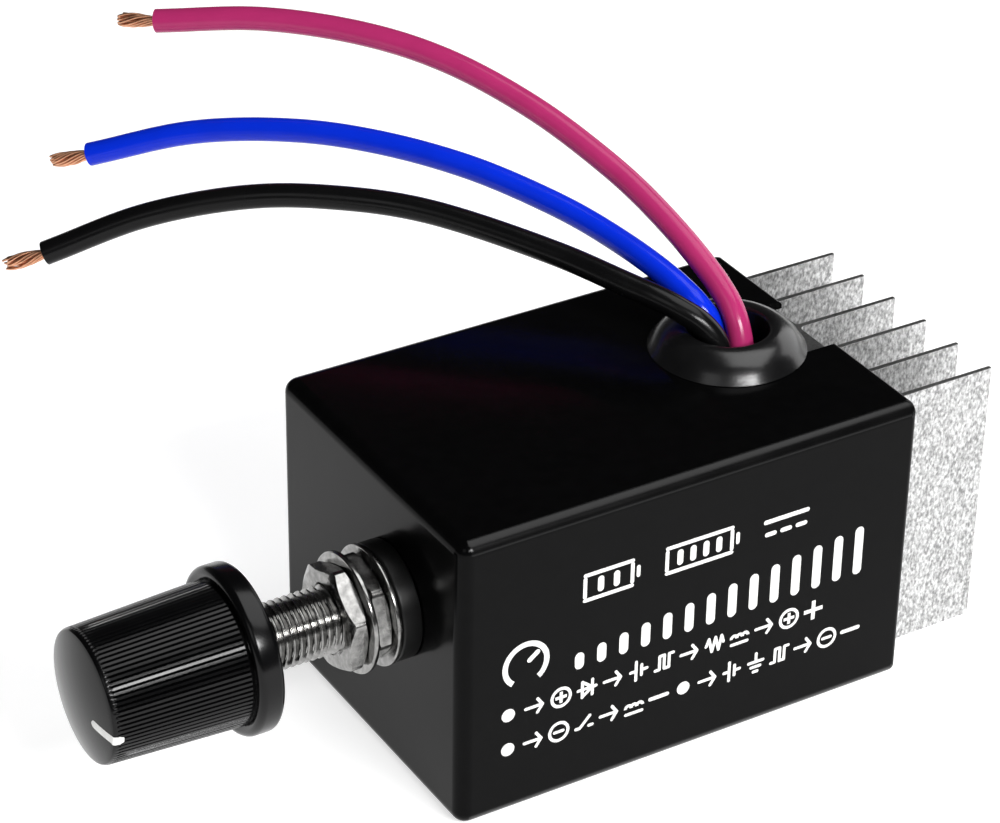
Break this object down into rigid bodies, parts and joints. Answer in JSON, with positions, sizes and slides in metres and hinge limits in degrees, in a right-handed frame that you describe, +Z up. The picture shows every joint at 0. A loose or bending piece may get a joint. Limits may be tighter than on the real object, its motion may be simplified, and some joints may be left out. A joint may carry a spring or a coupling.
{
  "type": "electronic speed controller",
  "caption": "Boxed motor speed controller: black housing, fluted knob on a threaded bushing, finned heat sink at the rear, and three stranded leads through a grommet.",
  "frame": {"origin": "under the middle of the object without its leads, on the surface it stands on", "axes": "+X from the knob towards the heat sink, +Z up out of the side with the leads, marked side towards -Y"},
  "size_m": [0.0988, 0.0853, 0.0553],
  "materials": {
    "housing_black": "glossy black moulded plastic",
    "knob_black": "satin black plastic",
    "pointer_white": "white inlay",
    "rubber_grey": "smooth dark rubber",
    "spacer_black": "matt black",
    "nickel": "nickel plate",
    "aluminium": "blasted, mottled",
    "steel": "plain steel",
    "brass": "turned",
    "tin": "tinned",
    "copper": "bare stranded copper",
    "board_green": "laminate",
    "epoxy_black": "moulded epoxy",
    "phenolic": "phenolic laminate",
    "nylon_white": "moulded nylon",
    "pad_grey": "insulating pad",
    "sleeve_blue": "shrink sleeve",
    "resistor_tan": "lacquer",
    "ceramic_brown": "dipped ceramic",
    "lead_red": "crimson insulation",
    "lead_blue": "blue insulation",
    "lead_black": "black insulation"
  },
  "bodies": {
    "case": {"housing": "housing_black", "heat_sink": "aluminium", "heat_sink_screw_left": "steel", "heat_sink_screw_right": "steel", "cable_grommet": "rubber_grey", "pot_bushing": "nickel", "pot_track_board": "phenolic", "pot_case": "steel", "pot_terminal_1": "tin", "pot_terminal_2": "tin", "pot_terminal_3": "tin", "panel_spacer": "spacer_black", "flat_washer_inner": "nickel", "bushing_nut_inner": "nickel", "flat_washer_outer": "nickel", "bushing_nut_outer": "nickel", "circuit_board": "board_green", "transistor_tab": "tin", "transistor_body": "epoxy_black", "transistor_pad": "pad_grey", "transistor_screw": "steel", "diode_tab": "tin", "diode_body": "epoxy_black", "diode_pad": "pad_grey", "diode_screw": "steel", "supply_capacitor": "sleeve_blue", "timing_capacitor": "sleeve_blue", "timer_chip": "epoxy_black", "resistor_1": "resistor_tan", "resistor_2": "resistor_tan", "resistor_3": "resistor_tan", "ceramic_capacitor_1": "ceramic_brown", "ceramic_capacitor_2": "ceramic_brown", "small_transistor": "epoxy_black", "red_lead": "lead_red", "blue_lead": "lead_blue", "black_lead": "lead_black", "red_strands": "copper", "blue_strands": "copper", "black_strands": "copper"},
    "control": {"knob": "knob_black", "knob_pointer": "pointer_white", "pot_shaft": "brass", "pot_shaft_ring": "steel", "pot_wiper": "nylon_white"}
  },
  "joints": [
    {"name": "knob_turn", "type": "hinge", "parent": "case", "child": "control", "pos_m": [-0.01535, -0.005, 0.01985], "axis": [-1, 0, 0], "range_deg": [-52.5, 247.5]}
  ]
}
